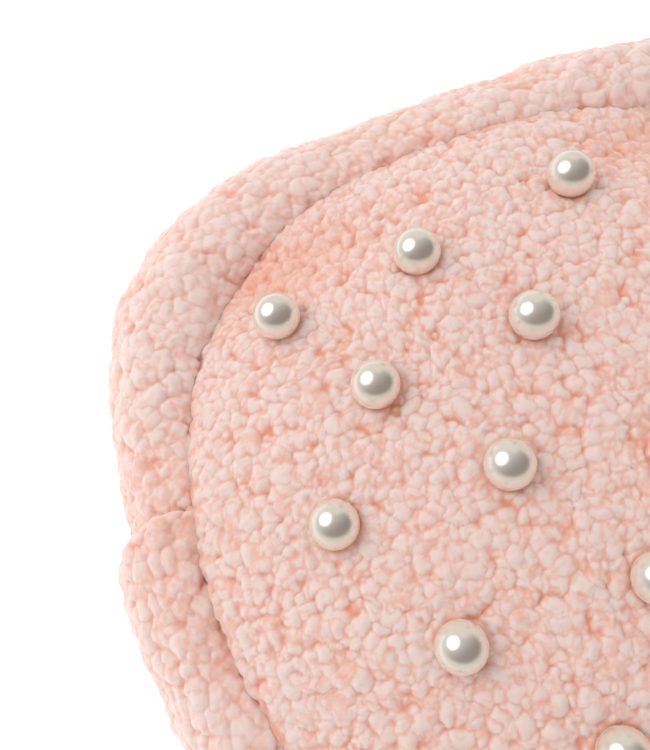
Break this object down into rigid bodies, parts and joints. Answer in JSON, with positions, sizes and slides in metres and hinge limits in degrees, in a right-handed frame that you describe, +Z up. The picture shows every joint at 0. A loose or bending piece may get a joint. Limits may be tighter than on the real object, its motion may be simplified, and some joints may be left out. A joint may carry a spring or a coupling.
{
  "type": "ring bearer pillow",
  "caption": "Rounded square ring pillow in curly pink fleece, with a lapped border strip, stuffed inner case and faux pearls riveted over its front.",
  "frame": {"origin": "middle of the pillow's box, on the table under the back panel", "axes": "+Z up out of the pearl-set front, +Y to the pillow's top edge, +X along the pearl rows, away from the border strip's lapped joint"},
  "size_m": [0.2022, 0.198, 0.0704],
  "materials": {
    "pink_fleece": "curly pile, matt",
    "cotton_cloth": "plain weave, matt",
    "white_fibre": "loose fibre",
    "pink_thread": "twisted thread",
    "pearl_plastic": "pearl lacquer, glossy",
    "rivet_steel": "plated, satin"
  },
  "bodies": {
    "root": {"front_panel": "pink_fleece", "border_band": "pink_fleece", "back_panel": "pink_fleece", "case_front": "cotton_cloth", "case_back": "cotton_cloth", "fibre_fill": "white_fibre", "front_seam_thread": "pink_thread", "back_seam_thread": "pink_thread", "lap_seam_thread": "pink_thread", "pearl_01": "pearl_plastic", "pearl_02": "pearl_plastic", "pearl_03": "pearl_plastic", "pearl_04": "pearl_plastic", "pearl_05": "pearl_plastic", "pearl_06": "pearl_plastic", "pearl_07": "pearl_plastic", "pearl_08": "pearl_plastic", "pearl_09": "pearl_plastic", "pearl_10": "pearl_plastic", "pearl_11": "pearl_plastic", "pearl_12": "pearl_plastic", "pearl_13": "pearl_plastic", "pearl_14": "pearl_plastic", "pearl_15": "pearl_plastic", "pearl_16": "pearl_plastic", "pearl_17": "pearl_plastic", "pearl_18": "pearl_plastic", "pearl_pin_01": "rivet_steel", "pearl_pin_02": "rivet_steel", "pearl_pin_03": "rivet_steel", "pearl_pin_04": "rivet_steel", "pearl_pin_05": "rivet_steel", "pearl_pin_06": "rivet_steel", "pearl_pin_07": "rivet_steel", "pearl_pin_08": "rivet_steel", "pearl_pin_09": "rivet_steel", "pearl_pin_10": "rivet_steel", "pearl_pin_11": "rivet_steel", "pearl_pin_12": "rivet_steel", "pearl_pin_13": "rivet_steel", "pearl_pin_14": "rivet_steel", "pearl_pin_15": "rivet_steel", "pearl_pin_16": "rivet_steel", "pearl_pin_17": "rivet_steel", "pearl_pin_18": "rivet_steel"}
  },
  "joints": []
}
